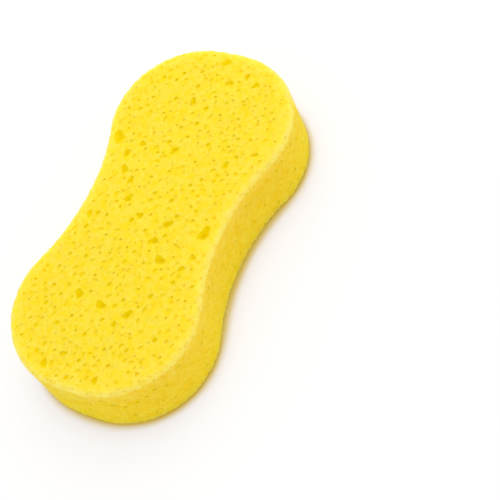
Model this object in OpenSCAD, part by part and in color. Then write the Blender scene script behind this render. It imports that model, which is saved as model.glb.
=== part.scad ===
// Cleaning sponge: one moulded block of open-cell foam with a figure-eight outline,
// rounded edges round both faces, and the burst bubbles of the foam open at every surface.
// The origin is at the middle of the foot. Length runs along X, width along Y, thickness up Z.

/* [Block] */
// Length from nose to nose
block_l = 200; // [180:1:230]
// Width across the two ends
block_w = 100; // [94:1:112]
// Width between the two hand grips
waist_w = 80; // [56:1:88]
// Thickness
block_t = 38; // [24:1:60]
// Radius of the nearly flat nose at each end
nose_r = 120; // [90:5:200]
// Radius of the four shoulders
shoulder_r = 44; // [36:1:45]
// Rounding of the edge round each face
edge_r = 3.5; // [2:0.5:6]

/* [Pores] */
// Spacing of the middling bubbles over the two faces
face_pitch = 10.5; // [9:0.5:20]
// Spacing of the bubbles round the side wall
wall_pitch = 12; // [9:0.5:24]
// Share of the wall's places that hold a bubble
wall_share = 0.6; // [0.2:0.1:1]
// Diameter of the widest middling bubble
bubble_d = 3; // [2.2:0.1:4]
// Diameter of the smallest middling bubble
fine_bubble_d = 1.6; // [1:0.1:2]
// How far a bubble's centre lies below the surface that cuts it open, for each of its radius
sink = 0.35; // [0.1:0.05:0.7]

/* [Hidden] */
$fn = 48;

half_l = block_l / 2;
half_w = block_w / 2;
half_waist = waist_w / 2;

// The shoulders are limited by the half width, of which they leave a tenth to the nose
shoulder_share = 0.9;
round_r = min(shoulder_r, shoulder_share * half_w);

// The outline is a chain of tangent arcs. In its first quarter these are the nose, with its
// centre on the long axis, the shoulder, and the hollow waist, with its centre outside.
nose_x = half_l - nose_r;
shoulder_y = half_w - round_r;
shoulder_x = nose_x + sqrt(pow(nose_r - round_r, 2) - pow(shoulder_y, 2));
waist_r = (pow(shoulder_x, 2) + pow(half_waist - shoulder_y, 2) - pow(round_r, 2))
    / (2 * (half_w - half_waist));
waist_y = half_waist + waist_r;
nose_angle = atan2(shoulder_y, shoulder_x - nose_x);
shoulder_angle = atan2(waist_y - shoulder_y, -shoulder_x);

// Steps along each arc of the quarter outline and round the edge
nose_steps = 2;
shoulder_steps = 12;
flank_steps = 3;
waist_steps = 5;
edge_steps = 4;

// How far the loft of an edge is sunk into the block
edge_root = 1;

// The largest bubbles of the upper face: place along the half length, place across the half
// width there, and diameter
large_places = [
  [-0.05, -0.81, 6], [0.35, 0.83, 6], [-0.24, -0.38, 4.6], [-0.15, -0.22, 4.2],
  [-0.05, -0.28, 4.2], [-0.56, -0.28, 4.2], [0.18, 0.62, 4.2], [-0.53, 0.3, 4.2],
  [-0.55, 0.04, 4.2], [0.93, 0.02, 4.2], [0.36, 0.1, 3.8], [-0.91, 0.47, 3.8],
  [0.65, 0.16, 3.8], [0.28, 0.68, 3.8], [0.03, 0.4, 3.8], [-0.91, -0.44, 3.4],
  [0.34, -0.58, 3.4], [-0.1, 0.8, 3.4], [0.13, 0.48, 3.4], [0.81, -0.16, 3.4],
  [-0.04, 0.12, 3.4], [-0.84, 0.2, 3], [0.83, -0.52, 3.4], [-0.25, -0.7, 3],
  [0.87, -0.38, 3.2], [-0.18, -0.78, 3], [-0.62, -0.2, 3], [0.44, -0.8, 3],
  [0.35, 0.52, 3.2], [-0.95, -0.28, 3]
];

// The two smaller bubbles that have run into each large one: how far off they lie and how wide
// they are, both for each of its diameter, and the turn from one to the other
partners = [[0.5, 0.75], [0.5, 0.4]];
partner_turn = 140;
large_reach = partners[0][0] + partners[0][1] / 2;

// The share of its cell over which a bubble strays, over a face and along a facet of the wall
stray = 0.7;
wall_stray = 0.3;

// Where the scatter of each surface starts, and its step from one column to the next
upper_seed = 0;
foot_seed = 5000;
wall_seed = 10000;
column_step = 100;

// Half width of the block at a distance x from the middle
function half_width(x) =
    let (a = abs(x))
    a < shoulder_x + round_r * cos(shoulder_angle)
      ? waist_y - sqrt(pow(waist_r, 2) - pow(a, 2))
      : shoulder_y + sqrt(max(0, pow(round_r, 2) - pow(a - shoulder_x, 2)));

// How deep a point lies within the outline: below 0 it is outside
function depth_inside(x, y) =
    let (a = abs(x), b = abs(y), turn = atan2(b - shoulder_y, a - shoulder_x))
    min(nose_r - norm([a - nose_x, b]),
        norm([a, waist_y - b]) - waist_r,
        turn > nose_angle && turn < shoulder_angle
          ? round_r - norm([a - shoulder_x, b - shoulder_y])
          : half_l);

// An even scatter between 0 and 1, the same at every build
function scatter(i, k) =
    let (s = 43758.5453 * sin(127.1 * i + 311.7 * k))
    s - floor(s);

function arc(centre, r, from, to, steps) =
    [for (i = [0 : steps - 1])
      let (a = from + (to - from) * i / steps)
      centre + r * [cos(a), sin(a)]];

// The outline drawn in by an inset, once round from the nose at +X
function outline(inset) =
    let (
      quarter = concat(
        arc([nose_x, 0], nose_r - inset, 0, nose_angle, nose_steps),
        arc([shoulder_x, shoulder_y], round_r - inset, nose_angle, 90, shoulder_steps),
        arc([shoulder_x, shoulder_y], round_r - inset, 90, shoulder_angle, flank_steps),
        arc([0, waist_y], waist_r + inset, shoulder_angle - 180, -90, waist_steps)),
      n = len(quarter),
      upper = concat(
        quarter,
        [[0, half_waist - inset]],
        [for (i = [n - 1 : -1 : 0]) [-quarter[i].x, quarter[i].y]]))
    concat(upper, [for (i = [2 * n - 1 : -1 : 1]) [upper[i].x, -upper[i].y]]);

// The quarter round of the upper edge, as pairs of inset and height. It starts and ends a little
// inside the block, so that the loft through it is sunk into the core and the wall.
function edge_profile() = concat(
    [[edge_root, block_t - edge_r - edge_root]],
    [for (i = [0 : edge_steps])
      let (turn = 90 * i / edge_steps)
      [edge_r * (1 - cos(turn)), block_t - edge_r * (1 - sin(turn))]],
    [[edge_r + edge_root, block_t - edge_root]]);

// One rounded edge is a loft: a ring of the outline at each point of the profile
module rounded_edge() {
  profile = edge_profile();
  rings = [for (step = profile) [for (p = outline(step[0])) [p.x, p.y, step[1]]]];
  n = len(rings[0]);
  last = (len(rings) - 1) * n;
  polyhedron(
    points = [for (ring = rings) each ring],
    faces = concat(
      [[for (i = [0 : n - 1]) i]],
      [for (k = [0 : len(rings) - 2], i = [0 : n - 1])
        let (j = (i + 1) % n)
        [k * n + j, k * n + i, (k + 1) * n + i, (k + 1) * n + j]],
      [[for (i = [n - 1 : -1 : 0]) last + i]]));
}

module turned_over() {
  translate([0, 0, block_t])
    mirror([0, 0, 1])
      children();
}

module foam_block() {
  linear_extrude(block_t)
    polygon(outline(edge_r));
  translate([0, 0, edge_r])
    linear_extrude(block_t - 2 * edge_r)
      polygon(outline(0));
  rounded_edge();
  turned_over()
    rounded_edge();
}

// A bubble cut open by the upper face, where it stays clear of the rounded edge
module bubble(x, y, d) {
  if (depth_inside(x, y) > edge_r + d / 2)
    translate([x, y, block_t - sink * d / 2])
      sphere(d = d);
}

// Two smaller bubbles have run into each large one
module large_bubble(x, y, d, index) {
  bubble(x, y, d);
  for (k = [0, 1])
    let (turn = 360 * scatter(index, 0) + partner_turn * k, reach = d * partners[k][0])
    bubble(x + reach * cos(turn), y + reach * sin(turn), d * partners[k][1]);
}

module large_bubbles() {
  for (index = [0 : len(large_places) - 1])
    let (place = large_places[index], x = place[0] * half_l)
    large_bubble(x, place[1] * half_width(x), place[2], index);
}

// The diameters of the middling bubbles: many small ones to each wide one
function middling_d(index) =
    fine_bubble_d + (bubble_d - fine_bubble_d) * pow(scatter(index, 3), 2);

// Whether a bubble stays clear of every large one in a list
function clear_of(places, x, y, d) =
    len([for (place = places)
      let (along = place[0] * half_l, away = [x - along, y - place[1] * half_width(along)])
      if (norm(away) < large_reach * place[2] + d / 2) place]) == 0;

// The middling bubbles of one face, one to each cell of a grid and off its middle, round the
// large ones that the face has
module face_bubbles(seed, places) {
  columns = ceil(half_l / face_pitch);
  rows = ceil(half_w / face_pitch);
  for (i = [-columns : columns], j = [-rows : rows])
    let (
      index = column_step * i + j + seed,
      x = face_pitch * (i + stray * (scatter(index, 1) - 0.5)),
      y = face_pitch * (j + stray * (scatter(index, 2) - 0.5)),
      d = middling_d(index))
    if (clear_of(places, x, y, d))
      bubble(x, y, d);
}

// The bubbles of the side wall, in rows up each of its facets that are wide enough for them
module wall_bubbles() {
  ring = outline(0);
  wall_h = block_t - 2 * edge_r;
  rows = floor(wall_h / wall_pitch);
  for (i = [0 : len(ring) - 1], j = [0 : rows - 1])
    let (
      index = column_step * i + j + wall_seed,
      d = middling_d(index),
      run = ring[(i + 1) % len(ring)] - ring[i],
      inwards = [-run.y, run.x] / norm(run),
      along = 0.5 + wall_stray * (scatter(index, 1) - 0.5),
      place = ring[i] + along * run + inwards * sink * d / 2,
      z = edge_r + wall_h * (j + 0.5 + stray * (scatter(index, 2) - 0.5)) / rows)
    if (scatter(index, 4) < wall_share && d < norm(run) * (1 - wall_stray))
      translate(concat(place, z))
        rotate([0, 90, atan2(-inwards.y, -inwards.x)])
          sphere(d = d);
}

module sponge_body() {
  color("#fce33c")
    difference() {
      foam_block();
      large_bubbles();
      face_bubbles(upper_seed, large_places);
      turned_over()
        face_bubbles(foot_seed, []);
      wall_bubbles();
    }
}

sponge_body();
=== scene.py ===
import math

import bmesh
import bpy
import numpy as np
from mathutils import Euler, Matrix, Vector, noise
from mathutils.geometry import delaunay_2d_cdt
from mathutils.kdtree import KDTree


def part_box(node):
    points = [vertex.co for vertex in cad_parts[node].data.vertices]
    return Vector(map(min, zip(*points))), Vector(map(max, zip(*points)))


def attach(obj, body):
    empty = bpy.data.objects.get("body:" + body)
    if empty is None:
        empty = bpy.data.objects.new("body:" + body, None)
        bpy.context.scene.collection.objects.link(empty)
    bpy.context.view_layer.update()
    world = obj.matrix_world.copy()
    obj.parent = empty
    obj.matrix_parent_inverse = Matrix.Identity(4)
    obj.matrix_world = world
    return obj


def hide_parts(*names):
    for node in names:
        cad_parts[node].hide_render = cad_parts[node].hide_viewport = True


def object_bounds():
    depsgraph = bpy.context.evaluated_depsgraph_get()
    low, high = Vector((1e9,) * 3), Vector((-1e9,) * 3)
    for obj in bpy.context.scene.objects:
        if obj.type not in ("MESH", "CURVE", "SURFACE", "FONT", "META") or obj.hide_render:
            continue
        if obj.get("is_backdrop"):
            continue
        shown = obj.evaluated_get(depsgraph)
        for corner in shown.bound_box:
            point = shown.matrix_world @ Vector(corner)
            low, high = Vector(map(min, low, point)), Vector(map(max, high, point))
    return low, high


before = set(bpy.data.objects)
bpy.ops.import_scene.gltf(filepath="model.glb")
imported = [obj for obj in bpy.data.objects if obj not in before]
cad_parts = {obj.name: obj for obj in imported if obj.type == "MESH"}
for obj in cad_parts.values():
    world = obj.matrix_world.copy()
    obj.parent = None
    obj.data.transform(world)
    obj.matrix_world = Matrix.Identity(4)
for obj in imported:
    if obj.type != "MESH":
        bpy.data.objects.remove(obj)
cad_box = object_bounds()

# The block. The sponge is one block of yellow polyurethane foam, pinched on both sides to fit the
# hand. Its outline is a chain of tangent arcs: a nearly flat nose, round shoulders and a hollow
# waist. The edges round both broad faces are rounded, and the wall between them is straight.
mm = 0.001
low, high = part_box("sponge_body")
half_l = (high.x - low.x) / 2
half_w = (high.y - low.y) / 2
block_t = high.z - low.z
half_waist = 40 * mm
nose_r = 120 * mm
shoulder_r = 44 * mm
edge_r = 3.5 * mm

nose_x = half_l - nose_r
shoulder_y = half_w - shoulder_r
shoulder_x = nose_x + math.sqrt((nose_r - shoulder_r) ** 2 - shoulder_y ** 2)
waist_r = ((shoulder_x ** 2 + (half_waist - shoulder_y) ** 2 - shoulder_r ** 2)
           / (2 * (half_w - half_waist)))
waist_y = half_waist + waist_r
nose_angle = math.atan2(shoulder_y, shoulder_x - nose_x)
shoulder_angle = math.atan2(waist_y - shoulder_y, -shoulder_x)

# Steps along the nose, the shoulder up to its widest point, its flank and the waist, then round
# the edge and up the wall
fine_steps = (9, 62, 15, 48)
edge_steps = 7
wall_steps = 4

# Each face has a narrow ring of its own beside the rounded edge. Within it lies an even grid.
face_pitch = 4 * mm
rim_land = 1.2 * mm
grid_start = 1.5 * rim_land
inside_only = 1  # the triangulation leaves out what is outside the ring
merge_gap = 1e-7


def arc(centre, radius, start, end, steps):
    turn = np.linspace(start, end, steps, endpoint=False)
    return np.column_stack((centre[0] + radius * np.cos(turn), centre[1] + radius * np.sin(turn)))


def outline(inset, steps):
    """The outline drawn in by an inset, once round from the nose at +X."""
    quarter = np.vstack((
        arc((nose_x, 0), nose_r - inset, 0, nose_angle, steps[0]),
        arc((shoulder_x, shoulder_y), shoulder_r - inset, nose_angle, math.pi / 2, steps[1]),
        arc((shoulder_x, shoulder_y), shoulder_r - inset, math.pi / 2, shoulder_angle, steps[2]),
        arc((0, waist_y), waist_r + inset, shoulder_angle - math.pi, -math.pi / 2, steps[3])))
    upper = np.vstack((quarter, [[0, half_waist - inset]], quarter[::-1] * (-1, 1)))
    return np.vstack((upper, upper[-2:0:-1] * (1, -1)))


def depth_inside(x, y):
    """How deep points lie within the outline: below 0 they are outside."""
    a, b = np.abs(x), np.abs(y)
    turn = np.arctan2(b - shoulder_y, a - shoulder_x)
    at_shoulder = (turn > nose_angle) & (turn < shoulder_angle)
    return np.minimum.reduce((
        nose_r - np.hypot(a - nose_x, b),
        np.hypot(a, waist_y - b) - waist_r,
        np.where(at_shoulder, shoulder_r - np.hypot(a - shoulder_x, b - shoulder_y), half_l)))


def half_width(x):
    """Half the width of the block at a distance x from its middle."""
    a = abs(x)
    if a < shoulder_x + shoulder_r * math.cos(shoulder_angle):
        return waist_y - math.sqrt(waist_r ** 2 - a ** 2)
    return shoulder_y + math.sqrt(max(0, shoulder_r ** 2 - (a - shoulder_x) ** 2))


def block_profile():
    """The rings of the block from the foot to the upper face, as pairs of inset and height."""
    turns = [math.pi / 2 * i / edge_steps for i in range(edge_steps + 1)]
    foot = [(edge_r * (1 - math.sin(t)), edge_r * (1 - math.cos(t))) for t in turns]
    wall = [edge_r + (block_t - 2 * edge_r) * i / wall_steps for i in range(1, wall_steps)]
    top = [(inset, block_t - height) for inset, height in reversed(foot)]
    land = edge_r + rim_land
    return [(land, 0)] + foot + [(0, height) for height in wall] + top + [(land, block_t)]


def face_grid(ring):
    """A broad face: its corners, its triangles, and which ring corner each corner came from."""
    columns, rows = (math.ceil(half / face_pitch) for half in (half_l, half_w))
    inner = [(face_pitch * (i + 0.5 * (j % 2)), face_pitch * j)
             for i in range(-columns, columns) for j in range(-rows, rows + 1)]
    inner = [p for p in inner if depth_inside(*p) > edge_r + grid_start]
    loop = list(range(len(ring)))
    corners, _, faces, origins, _, _ = delaunay_2d_cdt(
        [tuple(p) for p in ring] + inner, [], [loop], inside_only, merge_gap)
    return corners, faces, [found[0] for found in origins]


def block_mesh():
    """The block before any bubble is cut: bands of faces from ring to ring, and both broad faces."""
    profile = block_profile()
    rings = [outline(inset, fine_steps) for inset, _ in profile]
    n = len(rings[0])
    corners = [(x, y, height) for ring, (_, height) in zip(rings, profile) for x, y in ring]
    faces = [(k * n + i, k * n + (i + 1) % n, (k + 1) * n + (i + 1) % n, (k + 1) * n + i)
             for k in range(len(rings) - 1) for i in range(n)]
    for first, height, up in ((0, 0, False), (len(corners) - n, block_t, True)):
        points, triangles, origins = face_grid(rings[0])
        start = len(corners)
        place = []
        for point, origin in zip(points, origins):
            if origin < n:
                place.append(first + origin)
            else:
                place.append(len(corners))
                corners.append((point.x, point.y, height))
        faces += [tuple(place[c] for c in (face if up else reversed(face))) for face in triangles]
    mesh = bpy.data.meshes.new("sponge")
    mesh.from_pydata(corners, [], faces)
    mesh.update()
    return mesh


# The bubbles. Foam rises as a froth, and where the block was cut out of it the bubbles stand open
# as round pits, some run into each other. The widest sit where the photograph shows them.
sink = 0.35  # how far a bubble's centre lies below the skin, for its radius
widest = 3 * mm
narrowest = 1.6 * mm
large_places = [  # share of half the length, share of half the width there, diameter
    (-0.05, -0.81, 6), (0.35, 0.83, 6), (-0.24, -0.38, 4.6), (-0.15, -0.22, 4.2),
    (-0.05, -0.28, 4.2), (-0.56, -0.28, 4.2), (0.18, 0.62, 4.2), (-0.53, 0.3, 4.2),
    (-0.55, 0.04, 4.2), (0.93, 0.02, 4.2), (0.36, 0.1, 3.8), (-0.91, 0.47, 3.8),
    (0.65, 0.16, 3.8), (0.28, 0.68, 3.8), (0.03, 0.4, 3.8), (-0.91, -0.44, 3.4),
    (0.34, -0.58, 3.4), (-0.1, 0.8, 3.4), (0.13, 0.48, 3.4), (0.81, -0.16, 3.4),
    (-0.04, 0.12, 3.4), (-0.84, 0.2, 3), (0.83, -0.52, 3.4), (-0.25, -0.7, 3),
    (0.87, -0.38, 3.2), (-0.18, -0.78, 3), (-0.62, -0.2, 3), (0.44, -0.8, 3),
    (0.35, 0.52, 3.2), (-0.95, -0.28, 3)]
partners = ((0.5, 0.75), (0.5, 0.4))  # of the two beside each: how far off and how wide, for its width
partner_turn = 140
large_reach = partners[0][0] + partners[0][1] / 2

# The middling bubbles lie one to each cell of a grid and stray from its middle
stray = 0.7
wall_stray = 0.3
wall_share = 0.6
bubble_pitch = 10.5 * mm
wall_pitch = 12 * mm
upper_seed, foot_seed, wall_seed, column_step = 0, 5000, 10000, 100
facet_steps = (2, 12, 3, 5)
scatter_spread = 43758.5453
scatter_turns = (127.1, 311.7)


def scatter(i, k):
    """An even scatter between 0 and 1, the same in every run."""
    turn = math.fmod(scatter_turns[0] * i + scatter_turns[1] * k, 360)
    value = scatter_spread * math.sin(math.radians(turn))
    return value - math.floor(value)


def middling_d(index):
    """The diameter of a middling bubble: many are small to each that is wide."""
    return narrowest + (widest - narrowest) * scatter(index, 3) ** 2


class Bubbles:
    """Pits to be cut from the block. Each is a ball, or a ball pressed flat along its way out of
    the skin. No two of one layer meet, so each layer is cut out in one go."""

    def __init__(self):
        self.all = []
        self.centres = np.empty((0, 3))
        self.reaches = np.empty(0)

    def add(self, centre, d, out, layer=0, stretch=1.0, flat=1.0):
        self.all.append((np.array(centre), d, np.array(out), layer, stretch, flat))
        self.centres = np.vstack((self.centres, centre))
        self.reaches = np.append(self.reaches, d * stretch / 2)

    def on_face(self, x, y, d, layer=0, foot=False):
        """A bubble in a broad face, where it stays clear of the rounded edge."""
        if depth_inside(x, y) > edge_r + d / 2:
            below = sink * d / 2
            centre, out = (x, y, block_t - below), (0, 0, 1)
            if foot:
                centre, out = (x, y, below), (0, 0, -1)
            self.add(centre, d, out, layer)

    def clear(self, centre, reach):
        """Whether a bubble would stay clear of those that are there."""
        return bool(np.all(np.linalg.norm(self.centres - centre, axis=1) > self.reaches + reach))


bubbles = Bubbles()
for index, (along, across, wide) in enumerate(large_places):
    x, y, d = along * half_l, across * half_width(along * half_l), wide * mm
    bubbles.on_face(x, y, d)
    for k, (reach, share) in enumerate(partners):
        turn = math.radians(360 * scatter(index, 0) + partner_turn * k)
        bubbles.on_face(x + reach * d * math.cos(turn), y + reach * d * math.sin(turn),
                        share * d, layer=1)


def clear_of_large(x, y, d):
    """Whether a bubble stays clear of the large ones and of the two beside each."""
    for along, across, wide in large_places:
        centre_x = along * half_l
        away = math.hypot(x - centre_x, y - across * half_width(centre_x))
        if away < large_reach * wide * mm + d / 2:
            return False
    return True


columns, rows = math.ceil(half_l / bubble_pitch), math.ceil(half_w / bubble_pitch)
for seed, foot in ((upper_seed, False), (foot_seed, True)):
    for i in range(-columns, columns + 1):
        for j in range(-rows, rows + 1):
            index = column_step * i + j + seed
            x = bubble_pitch * (i + stray * (scatter(index, 1) - 0.5))
            y = bubble_pitch * (j + stray * (scatter(index, 2) - 0.5))
            d = middling_d(index)
            if foot or clear_of_large(x, y, d):
                bubbles.on_face(x, y, d, foot=foot)

facets = outline(0, facet_steps)
wall_h = block_t - 2 * edge_r
wall_rows = math.floor(wall_h / wall_pitch)
for i, (start, end) in enumerate(zip(facets, np.roll(facets, -1, axis=0))):
    for j in range(wall_rows):
        index = column_step * i + j + wall_seed
        d = middling_d(index)
        run = end - start
        inwards = np.array((-run[1], run[0])) / np.linalg.norm(run)
        along = 0.5 + wall_stray * (scatter(index, 1) - 0.5)
        place = start + along * run + inwards * sink * d / 2
        z = edge_r + wall_h * (j + 0.5 + stray * (scatter(index, 2) - 0.5)) / wall_rows
        if scatter(index, 4) < wall_share and d < np.linalg.norm(run) * (1 - wall_stray):
            bubbles.add((*place, z), d, (*-inwards, 0))

# Between them come the fine bubbles, the narrowest under a millimetre wide. They also break the
# rounded edge, which gives it its small nicks.
fine_narrowest = 0.75 * mm
fine_gap = 0.12 * mm
fine_sink = 0.4
most_stretch = 1.4
tries = 12
fine_bubbles = {  # region: how many for each mm2, the widest, how rare wide ones are, how flat
    "upper": (0.067, 2.9 * mm, 2.5, 0.5),
    "foot": (0.016, 1.7 * mm, 2.2, 0.6),
    "wall": (0.054, 1.8 * mm, 2.0, 0.5),
    "rim": (0.110, 1.7 * mm, 2.2, 0.6),
    "foot_edge": (0.130, 2.2 * mm, 1.2, 1.0)}
edge_turns = {"rim": (0, 90), "foot_edge": (12, 52)}
chance_seed = 11
chance = np.random.default_rng(chance_seed)
rim = outline(0, fine_steps)
rim_run = np.roll(rim, -1, axis=0) - rim
rim_reach = np.concatenate(([0], np.cumsum(np.linalg.norm(rim_run, axis=1))))


def rim_point():
    """A chance point on the outline and the way outwards from it."""
    along = chance.uniform(0, rim_reach[-1])
    i = min(np.searchsorted(rim_reach, along, side="right") - 1, len(rim) - 1)
    run = rim_run[i]
    length = np.linalg.norm(run)
    return rim[i] + run * (along - rim_reach[i]) / length, np.array((run[1], -run[0])) / length


def chance_point(region):
    """A chance point on the skin of the block and the way outwards from it, or None."""
    if region in ("upper", "foot"):
        x, y = chance.uniform(-half_l, half_l), chance.uniform(-half_w, half_w)
        if depth_inside(x, y) < edge_r:
            return None
        up = 1 if region == "upper" else -1
        return np.array((x, y, block_t if up > 0 else 0)), np.array((0, 0, up))
    place, outwards = rim_point()
    if region == "wall":
        height = chance.uniform(edge_r, block_t - edge_r)
        return np.array((*place, height)), np.array((*outwards, 0))
    up = 1 if region == "rim" else -1
    turn = math.radians(chance.uniform(*edge_turns[region]))
    place = place - outwards * edge_r * (1 - math.cos(turn))
    rise = edge_r * (1 - math.sin(turn))
    return (np.array((*place, block_t - rise if up > 0 else rise)),
            np.array((*(outwards * math.cos(turn)), up * math.sin(turn))))


rim_length = rim_reach[-1]
face_fill = 0.875  # how much of its length times its width the outline fills
face_area = face_fill * 4 * half_l * half_w
edge_area = rim_length * edge_r * math.pi / 2
areas = {"upper": face_area, "foot": face_area, "wall": rim_length * wall_h,
         "rim": edge_area, "foot_edge": edge_area}
for region, (density, most, lean, fine_flat) in fine_bubbles.items():
    wanted = round(areas[region] / mm ** 2 * density)
    sizes = fine_narrowest + (most - fine_narrowest) * chance.random(wanted) ** lean
    for d in sorted(sizes, reverse=True):
        for _ in range(tries):
            spot = chance_point(region)
            if spot is None:
                continue
            skin_place, out = spot
            stretch = chance.uniform(1, most_stretch)
            centre = skin_place - out * fine_flat * chance.uniform(0, fine_sink) * d / 2
            if bubbles.clear(centre, d * stretch / 2 + fine_gap):
                bubbles.add(centre, d, out, stretch=stretch, flat=fine_flat)
                break


def ball(fineness):
    """Corners and triangles of a ball of radius 1."""
    form = bmesh.new()
    bmesh.ops.create_icosphere(form, subdivisions=fineness, radius=1)
    form.verts.index_update()
    corners = np.array([v.co for v in form.verts])
    faces = np.array([[v.index for v in f.verts] for f in form.faces])
    form.free()
    return corners, faces


# A bubble's wall swells by a share of its radius, less so in a wide one. The wider a bubble is,
# the finer its ball.
lumps = 1.1
lump_height = 0.22
full_lumps = 1.7 * mm
finer_from = (1.8 * mm, 3.1 * mm)


def fineness_of(d):
    """How fine the ball of a bubble is: 1, 2 or 3, by its diameter."""
    return 1 + sum(d >= limit for limit in finer_from)


def turned_out(out):
    """Three ways at right angles: two along the skin, by chance, and the way out of it."""
    along = np.cross(out, chance.normal(size=3))
    along /= np.linalg.norm(along)
    return np.array((along, np.cross(out, along), out))


def bubble_mesh(pits):
    """One mesh of the bubbles of a layer, each a little uneven, as real ones are."""
    balls = {fineness: ball(fineness) for fineness in (1, 2, 3)}
    corners, faces, count = [], [], 0
    for centre, d, out, _, stretch, flat in pits:
        form, triangles = balls[fineness_of(d)]
        start = chance.uniform(0, 100, size=3)
        swell = np.array([noise.noise(start + lumps * v) for v in form])
        lump = lump_height * min(1, full_lumps / d)
        shape = form * (1 + lump * swell[:, None]) * (stretch, 1 / stretch, flat)
        corners.append(shape @ turned_out(out) * d / 2 + centre)
        faces.append(triangles + count)
        count += len(form)
    mesh = bpy.data.meshes.new("bubbles")
    mesh.from_pydata(np.vstack(corners).tolist(), [], np.vstack(faces).tolist())
    return mesh


def cut(body, pits):
    """The body with a layer of bubbles cut out."""
    cutter = bpy.data.objects.new("bubbles", bubble_mesh(pits))
    bpy.context.scene.collection.objects.link(cutter)
    step = body.modifiers.new("bubbles", "BOOLEAN")
    step.operation = "DIFFERENCE"
    step.solver = "MANIFOLD"
    step.object = cutter
    shaped_body = body.evaluated_get(bpy.context.evaluated_depsgraph_get())
    shaped = bpy.data.meshes.new_from_object(shaped_body)
    body.modifiers.clear()
    body.data = shaped
    bpy.data.objects.remove(cutter)


sponge = bpy.data.objects.new("sponge", block_mesh())
bpy.context.scene.collection.objects.link(sponge)
for layer in (0, 1):
    cut(sponge, [pit for pit in bubbles.all if pit[3] == layer])


def without_crumbs(mesh):
    """Deletes the loose bits that stood between bubbles, so that one closed block is left."""
    form = bmesh.new()
    form.from_mesh(mesh)
    form.verts.ensure_lookup_table()
    island = np.full(len(form.verts), -1)
    count = 0
    for vert in form.verts:
        if island[vert.index] < 0:
            island[vert.index] = count
            open_ends = [vert]
            while open_ends:
                for edge in open_ends.pop().link_edges:
                    for other in edge.verts:
                        if island[other.index] < 0:
                            island[other.index] = count
                            open_ends.append(other)
            count += 1
    largest = np.argmax(np.bincount(island))
    crumbs = [v for v in form.verts if island[v.index] != largest]
    bmesh.ops.delete(form, geom=crumbs, context="VERTS")
    form.to_mesh(mesh)
    form.free()


without_crumbs(sponge.data)
neighbours = 8


def bubble_at(corners):
    """The bubble that each corner lies nearest to, for its width. The first row is how far off its
    middle is, as a share of its diameter, and the second row is the diameter."""
    tree = KDTree(len(bubbles.all))
    for i, pit in enumerate(bubbles.all):
        tree.insert(pit[0], i)
    tree.balance()
    found = []
    for corner_here in corners:
        near = tree.find_n(corner_here, neighbours)
        found.append(min((gap / bubbles.all[i][1], bubbles.all[i][1]) for _, i, gap in near))
    return np.array(found).T


def swell_at(corners, reach):
    """A smooth chance rise and fall at each corner, from about -1 to 1, that changes over a reach."""
    return np.array([noise.noise((px / reach, py / reach, pz / reach)) for px, py, pz in corners])


# Cut foam isn't quite flat: its skin rises and falls a little over a centimetre or two, more on
# the long sides than on the ends. The underside stays level, since the sponge lies on it.
unevenness = 0.22 * mm
uneven_over = 17 * mm
foot_stays = 6 * mm
more_across = 1.6
skin_depth = 0.03 * mm
# Round the mouth of a wide bubble the skin gets a painted shade of deeper gold.
mouth_reach = 0.56  # how far from its middle a bubble colours the skin, for its diameter
places = np.empty(len(sponge.data.vertices) * 3)
sponge.data.vertices.foreach_get("co", places)
places = places.reshape(-1, 3)
x, y, z = places.T
sides = np.clip(depth_inside(x, y), 0, None)
levels = np.minimum(z, block_t - z)
corner = (sides < edge_r) & (levels < edge_r)
edge_depth = edge_r - np.hypot(edge_r - sides, edge_r - levels)
depth = np.where(corner, edge_depth, np.minimum(sides, levels))
rim_turn = np.degrees(np.arctan2(edge_r - np.minimum(levels, edge_r),
                                 edge_r - np.minimum(sides, edge_r)))
rim_turn = np.where(corner, rim_turn, 0)
away, widths = bubble_at(places)
pit_widths = np.where(depth > skin_depth, widths, 0)
mouth_widths = np.where(away < mouth_reach, widths, 0)
inward = unevenness * (1 + swell_at(places, uneven_over)) / 2
foot_free = np.clip(z / foot_stays, 0, 1)
share = places / (half_l, half_w, block_t)
places[:, 0] -= share[:, 0] * inward
places[:, 1] -= share[:, 1] * inward * more_across
places[:, 2] -= inward * foot_free

# Along the rounded edges the walls between the bubbles stand out as small teeth, with dips
# between them. None rises past the level of either face.
rim_tooth, foot_tooth = 0.45 * mm, 0.9 * mm
tooth_width = 2.0 * mm
tooth_root = 1 * mm
probe = 0.05 * mm
outwards = np.column_stack((depth_inside(x - probe, y) - depth_inside(x + probe, y),
                            depth_inside(x, y - probe) - depth_inside(x, y + probe))) / (2 * probe)
turns = np.radians(rim_turn)
tooth_height = np.where(z < edge_r, foot_tooth, rim_tooth) * np.sin(2 * turns)
teeth = swell_at(places, tooth_width) * (tooth_height * np.clip(1 - depth / tooth_root, 0, 1))
places[:, :2] += outwards * (teeth * np.cos(turns))[:, None]
places[:, 2] += np.where(z < block_t / 2, -1, 1) * teeth * np.sin(turns)
places[:, 2] = np.clip(places[:, 2], 0, block_t)
sponge.data.vertices.foreach_set("co", places.ravel())


def give(name, values):
    """Keeps a value at each corner of the mesh for the material to read."""
    held = sponge.data.attributes.new(name, "FLOAT", "POINT")
    held.data.foreach_set("value", np.asarray(values, np.float32))


# The material reads how deep a corner lies, in millimetres, and values from 0 to 1: how wide its
# pit is, how wide the bubble is whose mouth it lies by, and whether it is of the wall or an edge.
wide_range = (1.6 * mm, 2.8 * mm)
mouth_range = (2.0 * mm, 4.0 * mm)
give("depth", depth / mm)
give("wide", np.interp(pit_widths, wide_range, (0, 1)))
give("mouth", np.interp(mouth_widths, mouth_range, (0, 1)))
give("wall", (sides < edge_r) * (1 - np.clip((edge_r - levels) / edge_r, 0, 1)))
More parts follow.
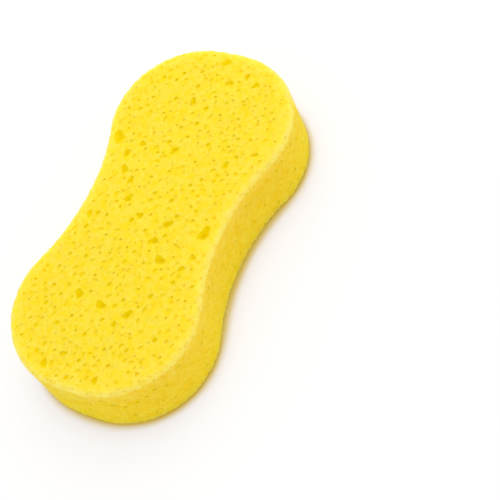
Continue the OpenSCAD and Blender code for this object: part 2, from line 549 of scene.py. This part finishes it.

# The upper edge carries a painted sheen, palest a third of the way round from the wall to the face,
# and that fades out over both. The lower edge carries a painted highlight where the wall starts to
# turn under, against its shade from the floor. Turns are in degrees.
fade = 6 * mm
pale_at_wall, pale_at_face = 0.18, 0.12
palest_turn = 28
foot_line_turns, foot_line_shares = (0, 12, 70), (0.5, 1, 0)
rim_share = np.interp(rim_turn, (0, palest_turn, 90), (pale_at_wall, 1, pale_at_face))
down_wall = pale_at_wall * np.clip(1 - (levels - edge_r) / fade, 0, 1)
over_face = pale_at_face * np.clip(1 - (sides - edge_r) / fade, 0, 1)
pale_share = np.where(corner, rim_share, np.where(sides < edge_r, down_wall, over_face))
foot_share = np.where(corner, np.interp(rim_turn, foot_line_turns, foot_line_shares), 0)
give("rim", np.where(z < block_t / 2, foot_share, pale_share))

sharp_from = math.radians(42)
sponge.data.shade_smooth()
sponge.data.set_sharp_from_angle(angle=sharp_from)


# The foam's finish. It is yellow all through, matte, with a fine grain of cells too small to see one
# by one. On top of that, light and shade are painted in: olive shade in the fine pores and cells, a
# deeper gold of bounced light in the bubbles with shade round their mouths, a deeper gold shade on the
# wall, a pale sheen on the upper edge and a highlight on the lower one.
class Wire:
    """A socket of a node tree. Arithmetic on wires adds the Math nodes that work it out."""

    def __init__(self, tree, socket=None):
        self.tree, self.socket = tree, socket

    def node(self, kind, settings=None, sockets=None, out=0):
        """A new node: its settings come first, then the values or wires of its sockets."""
        made = self.tree.nodes.new(kind)
        for name, value in (settings or {}).items():
            setattr(made, name, value)
        for name, value in (sockets or {}).items():
            if isinstance(value, Wire):
                self.tree.links.new(value.socket, made.inputs[name])
            else:
                made.inputs[name].default_value = value
        return Wire(self.tree, made.outputs[out] if made.outputs else None)

    def other(self, out):
        """Another output of the node that this wire leaves."""
        return Wire(self.tree, self.socket.node.outputs[out])

    def math(self, operation, *values):
        return self.node("ShaderNodeMath", {"operation": operation}, dict(enumerate(values)))

    def ramp(self, start, end):
        """0 up to start, 1 from end, and a smooth rise between them."""
        return self.node("ShaderNodeMapRange", {"interpolation_type": "SMOOTHSTEP"},
                         {"Value": self, "From Min": start, "From Max": end})

    def mix(self, first, second):
        """The first colour where this wire is 0 and the second where it is 1."""
        sockets = {0: self, 6: first, 7: second}
        return self.node("ShaderNodeMix", {"data_type": "RGBA"}, sockets, out=2)

    def __add__(self, other):
        return self.math("ADD", self, other)

    def __sub__(self, other):
        return self.math("SUBTRACT", self, other)

    def __rsub__(self, other):
        return self.math("SUBTRACT", other, self)

    def __mul__(self, other):
        return self.math("MULTIPLY", self, other)

    __radd__, __rmul__ = __add__, __mul__


def new_material(name):
    """A material with an empty node tree, and the tree as a wire."""
    material = bpy.data.materials.new(name)
    material.use_nodes = True
    material.node_tree.nodes.clear()
    return material, Wire(material.node_tree)


foam_yellow = (0.928, 0.690, 0.006, 1)
foam_pale = (0.942, 0.742, 0.068, 1)
# Olive is painted shade: the fine pores, the grain of cells and the edges of narrow pits are darkened
# with it.
pore_shade_olive = (0.850, 0.590, 0.006, 1)
# Painted light: deep in a bubble the colour turns this gold, for light bounced within the pit.
pit_bounce_gold = (1.000, 0.790, 0.001, 1)
# Painted shade round the mouth of a wide bubble
mouth_shade_gold = (0.960, 0.640, 0.001, 1)
# A painted sheen along the upper edge
rim_sheen_pale = (0.965, 0.760, 0.195, 1)
# The wall is a painted-shade copy of the foam's yellow, in deeper gold, and lighter near the foot for
# painted light bounced up from the floor. Each has a pale tone for its mottle.
shaded_wall_gold = (0.885, 0.560, 0.001, 1)
shaded_wall_pale = (0.925, 0.670, 0.060, 1)
floor_lit_wall_gold = (0.970, 0.595, 0.001, 1)
floor_lit_wall_pale = (1.000, 0.705, 0.045, 1)
# A painted highlight along the lower edge, against its shade from the floor
foot_painted_light = (1.000, 0.720, 0.170, 1)
pore_size = 1.5 * mm
grain_size = 0.75 * mm
blotch_size = 2.6 * mm
patch_size = 5 * mm

# A fine pore's least reach within its cell, what chance adds, and what it adds besides on the wall
pore_least, pore_chance, pore_chance_wall = 0.10, 0.26, 0.08
pore_blur = 0.08
grain_edge = (0.08, 0.40)

# How strongly each paints its shade on the skin, and how much more on the wall
pore_cover, pore_cover_wall = 0.50, 0.25
grain_cover, grain_cover_wall = 0.12, 0.16
mouth_cover = 0.50
edge_cover, edge_cover_wide = 0.60, 0.30  # of a pit's edge, and how much less in a wide one

# Where the chance patterns turn from one colour to the other, and how much each counts
face_blotches, wall_blotches, rim_blotches = (0.32, 0.68), (0.34, 0.66), (0.30, 0.70)
patch_edge = (0.30, 0.70)
wall_patch_share, wall_blotch_share = 0.3, 0.7
# How the painted sheen of the upper edge is broken in patches, and its least strength
rim_patch_share, rim_blotch_share, rim_least = 0.35, 0.25, 0.45
# Over these heights, painted light from the floor low on the wall gives way to its painted shade, and
# the lower edge's painted highlight to the upper edge's painted sheen.
rise_range = (0.1 * block_t, 0.9 * block_t)

# Depths within a pit, in millimetres, over which its painted shade at the edge and then its painted
# gold of bounced light come in
edge_depths, gold_depths = (0.04, 0.40), (0.40, 1.40)

# The relief of the bump, then the shine and how far light travels within the foam. Red and green
# go nearly all of that way and blue a tenth of it.
grain_bump = (0.05, 0.55)
grain_height, pore_height, blotch_height = 0.4, 0.8, 0.4
relief_strength, relief_height = 0.40, 0.22 * mm
foam_roughness = 0.92
foam_shine = 0.2
glow_shares = (1, 0.97, 0.10)
glow_reach = 9 * mm

foam, start = new_material("yellow_foam")
place = start.node("ShaderNodeTexCoord", out=3)
pores = start.node("ShaderNodeTexVoronoi", {"feature": "F1"},
                   {"Vector": place, "Scale": 1 / pore_size})
pick = start.node("ShaderNodeSeparateColor", None, {"Color": pores.other(1)})
grain = start.node("ShaderNodeTexVoronoi", {"feature": "F1"},
                   {"Vector": place, "Scale": 1 / grain_size})
blotches = start.node("ShaderNodeTexNoise", None,
                      {"Vector": place, "Scale": 1 / blotch_size, "Detail": 3.0, "Roughness": 0.6})
patches = start.node("ShaderNodeTexNoise", None,
                     {"Vector": place, "Scale": 1 / patch_size, "Detail": 2.0, "Roughness": 0.5})
depth_here = start.node("ShaderNodeAttribute", {"attribute_name": "depth"}, out=2)
wide_here = start.node("ShaderNodeAttribute", {"attribute_name": "wide"}, out=2)
mouth_here = start.node("ShaderNodeAttribute", {"attribute_name": "mouth"}, out=2)
rim_here = start.node("ShaderNodeAttribute", {"attribute_name": "rim"}, out=2)
wall_here = start.node("ShaderNodeAttribute", {"attribute_name": "wall"}, out=2)

pore_reach = pick * pick * (wall_here * pore_chance_wall + pore_chance) + pore_least
fine_pores = 1 - (pores - pore_reach).ramp(-pore_blur, pore_blur)
grains = 1 - grain.ramp(*grain_edge)
face_skin = blotches.ramp(*face_blotches).mix(foam_yellow, foam_pale)
rise = start.node("ShaderNodeSeparateXYZ", None, {0: place}, out=2).ramp(*rise_range)
patchy = patches.ramp(*patch_edge)
mottle = patchy * wall_patch_share + blotches.ramp(*wall_blotches) * wall_blotch_share
# Mottled wall with painted shade, lighter low down for painted light from the floor
wall_mottle_and_shade = mottle.mix(rise.mix(floor_lit_wall_gold, shaded_wall_gold), rise.mix(floor_lit_wall_pale, shaded_wall_pale))
skin = wall_here.mix(face_skin, wall_mottle_and_shade)
# The painted sheen on the upper edge is broken in patches; the lower edge gets a painted highlight
sheen_strength = patchy * rim_patch_share + blotches.ramp(*rim_blotches) * rim_blotch_share + rim_least
skin = (rim_here * sheen_strength).mix(skin, rise.mix(foot_painted_light, rim_sheen_pale))
# Painted shade round the mouths of the wide bubbles
skin = (mouth_here * mouth_cover).mix(skin, mouth_shade_gold)
# Painted shade in the fine pores and in the grain of cells, more on the wall
skin = (fine_pores * (wall_here * pore_cover_wall + pore_cover)).mix(skin, pore_shade_olive)
skin = (grains * (wall_here * grain_cover_wall + grain_cover)).mix(skin, pore_shade_olive)
# Painted shade at a pit's edge, then painted bounce light deeper in
pit_edge_shade = depth_here.ramp(*edge_depths) * (edge_cover - wide_here * edge_cover_wide)
skin = pit_edge_shade.mix(skin, wide_here.mix(pore_shade_olive, pit_bounce_gold))
skin = depth_here.ramp(*gold_depths).mix(skin, pit_bounce_gold)
relief = grain.ramp(*grain_bump) * grain_height - fine_pores * pore_height + blotches * blotch_height
bumped = start.node("ShaderNodeBump", None, {
    "Strength": relief_strength, "Distance": relief_height, "Height": relief})
shader = start.node("ShaderNodeBsdfPrincipled", None, {
    "Base Color": skin, "Roughness": foam_roughness, "Specular IOR Level": foam_shine,
    "Normal": bumped, "Subsurface Weight": 1.0, "Subsurface Radius": glow_shares,
    "Subsurface Scale": glow_reach})
start.node("ShaderNodeOutputMaterial", None, {"Surface": shader})

sponge.data.materials.clear()
sponge.data.materials.append(foam)
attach(sponge, "root")
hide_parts("sponge_body")


# The floor. It is a plain matte white surface, wide enough to fill the picture, and the sponge lies on
# it. For the camera its shadow is partly painted: near the foam, ambient occlusion darkens its glow to
# a painted shadow, gold close to the foam for light the foam colours there.
def background_rays(start):
    """1 for the rays that show the background: seen straight, mirrored or through glass."""
    camera_ray = start.node("ShaderNodeLightPath", out=0)
    mirrored_ray = camera_ray.other("Is Glossy Ray")
    passed_ray = camera_ray.other("Is Transmission Ray")
    return start.math("MAXIMUM", camera_ray, start.math("MAXIMUM", mirrored_ray, passed_ray))


floor_half = 1.5
floor_white = (0.90, 0.90, 0.90, 1)
floor_corners = [(-floor_half, -floor_half, 0), (floor_half, -floor_half, 0),
                 (floor_half, floor_half, 0), (-floor_half, floor_half, 0)]
floor_mesh = bpy.data.meshes.new("floor")
floor_mesh.from_pydata(floor_corners, [], [(0, 1, 2, 3)])
floor = bpy.data.objects.new("floor", floor_mesh)
bpy.context.scene.collection.objects.link(floor)
white, start = new_material("white_floor")
shadow_share = (0.42, 0.40, 0.30, 1)
contact_shadow_share = (0.43, 0.37, 0.09, 1)
open_glow = (0.56, 0.58, 0.685, 1)
shade_glow = (0.50, 0.515, 0.60, 1)
painted_contact_shadow = (0.27, 0.172, 0.012, 1)
shade_reach = 14 * mm
shade_samples = 16
contact_edge, shade_edge = (0.50, 0.68), (0.5, 1.0)
seen = background_rays(start)
# Ambient occlusion near the foam paints a shadow into the floor's glow, with a gold one at the contact
open_here = start.node("ShaderNodeAmbientOcclusion", {"samples": shade_samples},
                       {"Distance": shade_reach}, out=1)
beside = open_here.ramp(*contact_edge)
matte = start.node("ShaderNodeBsdfDiffuse", None, {
    "Color": seen.mix(floor_white, beside.mix(contact_shadow_share, shadow_share))})
glow = start.node("ShaderNodeEmission", None, {
    "Color": beside.mix(painted_contact_shadow, open_here.ramp(*shade_edge).mix(shade_glow, open_glow)),
    "Strength": seen})
both = start.node("ShaderNodeAddShader", None, {0: matte, 1: glow})
start.node("ShaderNodeOutputMaterial", None, {"Surface": both})
floor.data.materials.append(white)
floor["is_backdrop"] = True

# The light. It is that of a bright even room, with one wide soft lamp high behind the sponge's
# far end, which lights the upper face more than the near wall.
room = bpy.data.worlds.new("room")
room.use_nodes = True
room.node_tree.nodes.clear()
start = Wire(room.node_tree)
room_level = 0.90
seen = background_rays(start)
backdrop = start.node("ShaderNodeBackground", None, {
    "Color": (1, 1, 1, 1), "Strength": seen * (1 - room_level) + room_level})
start.node("ShaderNodeOutputWorld", None, {"Surface": backdrop})
bpy.context.scene.world = room

lamp_half = 0.55
lamp_away = 1.3
lamp_power = 4.9
lamp_turn, lamp_rise = math.radians(103), math.radians(62)
lamp_data = bpy.data.lights.new("lamp", "AREA")
lamp_data.shape = "SQUARE"
lamp_data.size = 2 * lamp_half
lamp_data.energy = lamp_power
lamp = bpy.data.objects.new("lamp", lamp_data)
lamp.rotation_euler = Euler((math.pi / 2 - lamp_rise, 0, lamp_turn))
lamp.location = lamp.rotation_euler.to_matrix() @ Matrix.Identity(3)[2] * lamp_away
bpy.context.scene.collection.objects.link(lamp)

# The camera. It looks down on the sponge along its length, from over its near end, and is rolled
# so that the sponge lies up the picture.
aim = (9.7 * mm, -39.5 * mm, 0)
camera_away = 672.3 * mm
camera_lens, camera_sensor = 94.73, 36
camera_turn, camera_rise, camera_roll = (math.radians(a) for a in (-39.91, 56.92, -29.44))
camera_data = bpy.data.cameras.new("camera")
camera_data.lens = camera_lens
camera_data.sensor_width = camera_sensor
camera_data.sensor_fit = "HORIZONTAL"
camera_data.clip_start = 0.01
camera = bpy.data.objects.new("camera", camera_data)
turned = Euler((math.pi / 2 - camera_rise, 0, camera_turn)).to_matrix()
camera.rotation_euler = (turned @ Matrix.Rotation(camera_roll, 3, "Z")).to_euler()
camera.location = [a + b * camera_away for a, b in zip(aim, turned.col[2])]
bpy.context.scene.collection.objects.link(camera)
bpy.context.scene.camera = camera
bpy.context.scene.view_settings.view_transform = "Standard"

sizes = {"cad": [list(corner) for corner in cad_box],
         "visual": [list(corner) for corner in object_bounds()]}
